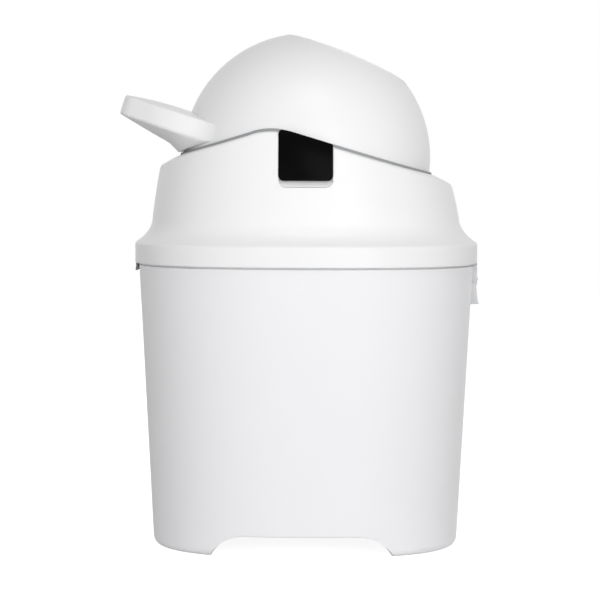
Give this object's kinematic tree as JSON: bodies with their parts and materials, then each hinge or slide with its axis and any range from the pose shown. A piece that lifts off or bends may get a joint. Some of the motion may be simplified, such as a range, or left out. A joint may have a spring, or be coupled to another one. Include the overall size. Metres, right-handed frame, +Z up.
{
  "type": "nappy bin",
  "caption": "White nappy bin with a tapered body, hinged lid and flip-over drum whose weighted piston pushes nappies into the bin.",
  "frame": {"origin": "floor level, in the middle of the width and depth that the whole bin takes up, handle and hinge included", "axes": "+Z up, +X towards the lid hinge, the handle rests over -X, the black plate faces -Y, the drum axle runs along Y"},
  "size_m": [0.339, 0.323, 0.4802],
  "materials": {
    "bin_white": "fine satin, moulded",
    "black_gloss": "high gloss",
    "bush": "acetal, satin",
    "felt": "pressed felt",
    "foam": "open cell foam, matt",
    "gloss_white": "satin gloss, moulded",
    "grey_plastic": "satin",
    "inner_white": "satin",
    "steel": "zinc plated"
  },
  "bodies": {
    "bin": {"bin_body": "bin_white", "hinge_leaf_lower": "gloss_white", "hinge_screws_lower": "steel", "hinge_pin": "steel"},
    "lid": {"lid_shell": "gloss_white", "hinge_leaf_upper": "gloss_white", "hinge_screws_upper": "steel", "lid_gasket": "foam", "liner_deck": "inner_white", "liner_screws": "steel", "drum_seal": "foam", "axle_plate": "black_gloss", "axle_pin_front": "steel", "axle_pin_rear": "steel", "latch_pin": "steel", "latch_spring": "steel"},
    "latch": {"latch_lever": "grey_plastic"},
    "drum": {"drum_shell_front": "gloss_white", "drum_shell_rear": "gloss_white", "drum_dowels": "steel", "well_tube": "inner_white", "mouth_ring_a": "gloss_white", "mouth_ring_b": "gloss_white", "handle_top": "gloss_white", "handle_fairing": "gloss_white", "handle_screws": "steel", "axle_bush_front": "bush", "axle_bush_rear": "bush"},
    "piston": {"piston_cup": "inner_white", "piston_cap": "inner_white", "piston_weight": "steel", "piston_ring_a": "felt", "piston_ring_b": "felt"}
  },
  "joints": [
    {"name": "lid_hinge", "type": "hinge", "parent": "bin", "child": "lid", "pos_m": [0.16543, 0, 0.2507], "axis": [0, 1, 0], "range_deg": [0, 95]},
    {"name": "latch_release", "type": "hinge", "parent": "lid", "child": "latch", "pos_m": [-0.15247, 0, 0.2745], "axis": [0, 1, 0], "range_deg": [0, 14], "stiffness_Nm_per_rad": 0.05, "springref_deg": -8.59},
    {"name": "drum_flip", "type": "hinge", "parent": "lid", "child": "drum", "pos_m": [0.00723, 0, 0.364], "axis": [0, 1, 0], "range_deg": [0, 164]},
    {"name": "piston_slide", "type": "slide", "parent": "drum", "child": "piston", "axis": [0.3746, 0, 0.9272], "range_m": [0, 0.1212]}
  ]
}
